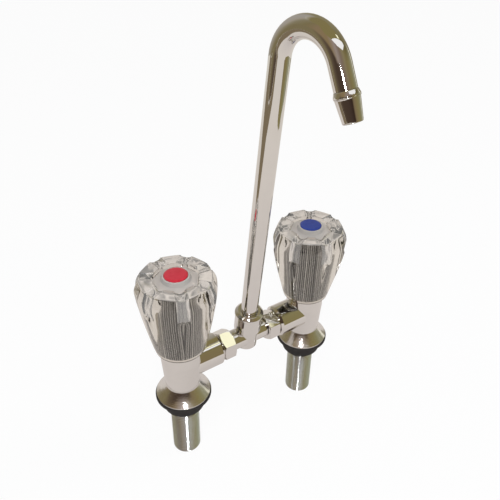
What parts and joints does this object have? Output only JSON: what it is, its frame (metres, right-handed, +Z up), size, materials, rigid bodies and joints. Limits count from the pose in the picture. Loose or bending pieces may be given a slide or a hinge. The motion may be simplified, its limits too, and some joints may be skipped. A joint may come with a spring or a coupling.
{
  "type": "basin mixer tap",
  "caption": "Deck-mounted basin mixer tap with two crystal rotary knobs on rising-spindle valves, a bridge and a tall thin swan-neck swivel spout.",
  "frame": {"origin": "on the basin's deck plane, midway between the two tap holes (mount deck)", "axes": "+Z up out of the deck; +X along the bridge from the hot valve to the cold valve; -Y towards the user, the way the spout points"},
  "size_m": [0.1645, 0.1098, 0.3266],
  "materials": {
    "chrome": "bright chrome plate on brass",
    "brass": "turned brass, unplated",
    "rubber": "matt black rubber",
    "fibre": "red-brown fibre",
    "clear_acrylic": "clear moulded acrylic, polished",
    "liner_metal": "metallised moulded plastic, fine vertical ribs",
    "steel": "plain steel",
    "nylon": "natural nylon",
    "red_disc": "glossy red",
    "blue_disc": "glossy blue"
  },
  "bodies": {
    "tap_body": {"hot_valve_body": "chrome", "hot_base_washer": "rubber", "hot_bonnet": "brass", "hot_bonnet_washer": "fibre", "hot_union_nut": "chrome", "hot_union_ring": "steel", "hot_union_seal": "fibre", "cold_valve_body": "chrome", "cold_base_washer": "rubber", "cold_bonnet": "brass", "cold_bonnet_washer": "fibre", "cold_union_nut": "chrome", "cold_union_ring": "steel", "cold_union_seal": "fibre", "tee_body": "chrome", "spout_collar": "chrome", "spout_slip_ring": "nylon"},
    "spout": {"spout_ferrule": "brass", "spout_seals": "rubber", "spout_tube": "chrome", "spout_nozzle": "chrome", "nozzle_insert": "nylon"},
    "hot_jumper_set": {"hot_jumper": "brass", "hot_seat_washer": "rubber", "hot_washer_nut": "brass"},
    "hot_spindle_set": {"hot_spindle": "brass", "hot_spindle_seals": "rubber", "hot_knob": "clear_acrylic", "hot_knob_liner": "liner_metal", "hot_index_disc": "red_disc", "hot_knob_screw": "steel"},
    "cold_jumper_set": {"cold_jumper": "brass", "cold_seat_washer": "rubber", "cold_washer_nut": "brass"},
    "cold_spindle_set": {"cold_spindle": "brass", "cold_spindle_seals": "rubber", "cold_knob": "clear_acrylic", "cold_knob_liner": "liner_metal", "cold_index_disc": "blue_disc", "cold_knob_screw": "steel"}
  },
  "joints": [
    {"name": "hot_lift", "type": "slide", "parent": "tap_body", "child": "hot_jumper_set", "axis": [0, 0, 1], "range_m": [0, 0.0045]},
    {"name": "hot_turn", "type": "hinge", "parent": "hot_jumper_set", "child": "hot_spindle_set", "pos_m": [-0.055, 0, 0.05], "axis": [0, 0, 1], "range_deg": [0, 540]},
    {"name": "cold_lift", "type": "slide", "parent": "tap_body", "child": "cold_jumper_set", "axis": [0, 0, 1], "range_m": [0, 0.0045]},
    {"name": "cold_turn", "type": "hinge", "parent": "cold_jumper_set", "child": "cold_spindle_set", "pos_m": [0.055, 0, 0.05], "axis": [0, 0, 1], "range_deg": [0, 540]},
    {"name": "spout_swivel", "type": "hinge", "parent": "tap_body", "child": "spout", "pos_m": [0, 0, 0.0293], "axis": [0, -0.1219, 0.9925], "continuous": true}
  ],
  "couplings": [
    {"joint": "hot_lift", "follows": "hot_turn", "m_per_rad": 0.00047746},
    {"joint": "cold_lift", "follows": "cold_turn", "m_per_rad": 0.00047746}
  ]
}
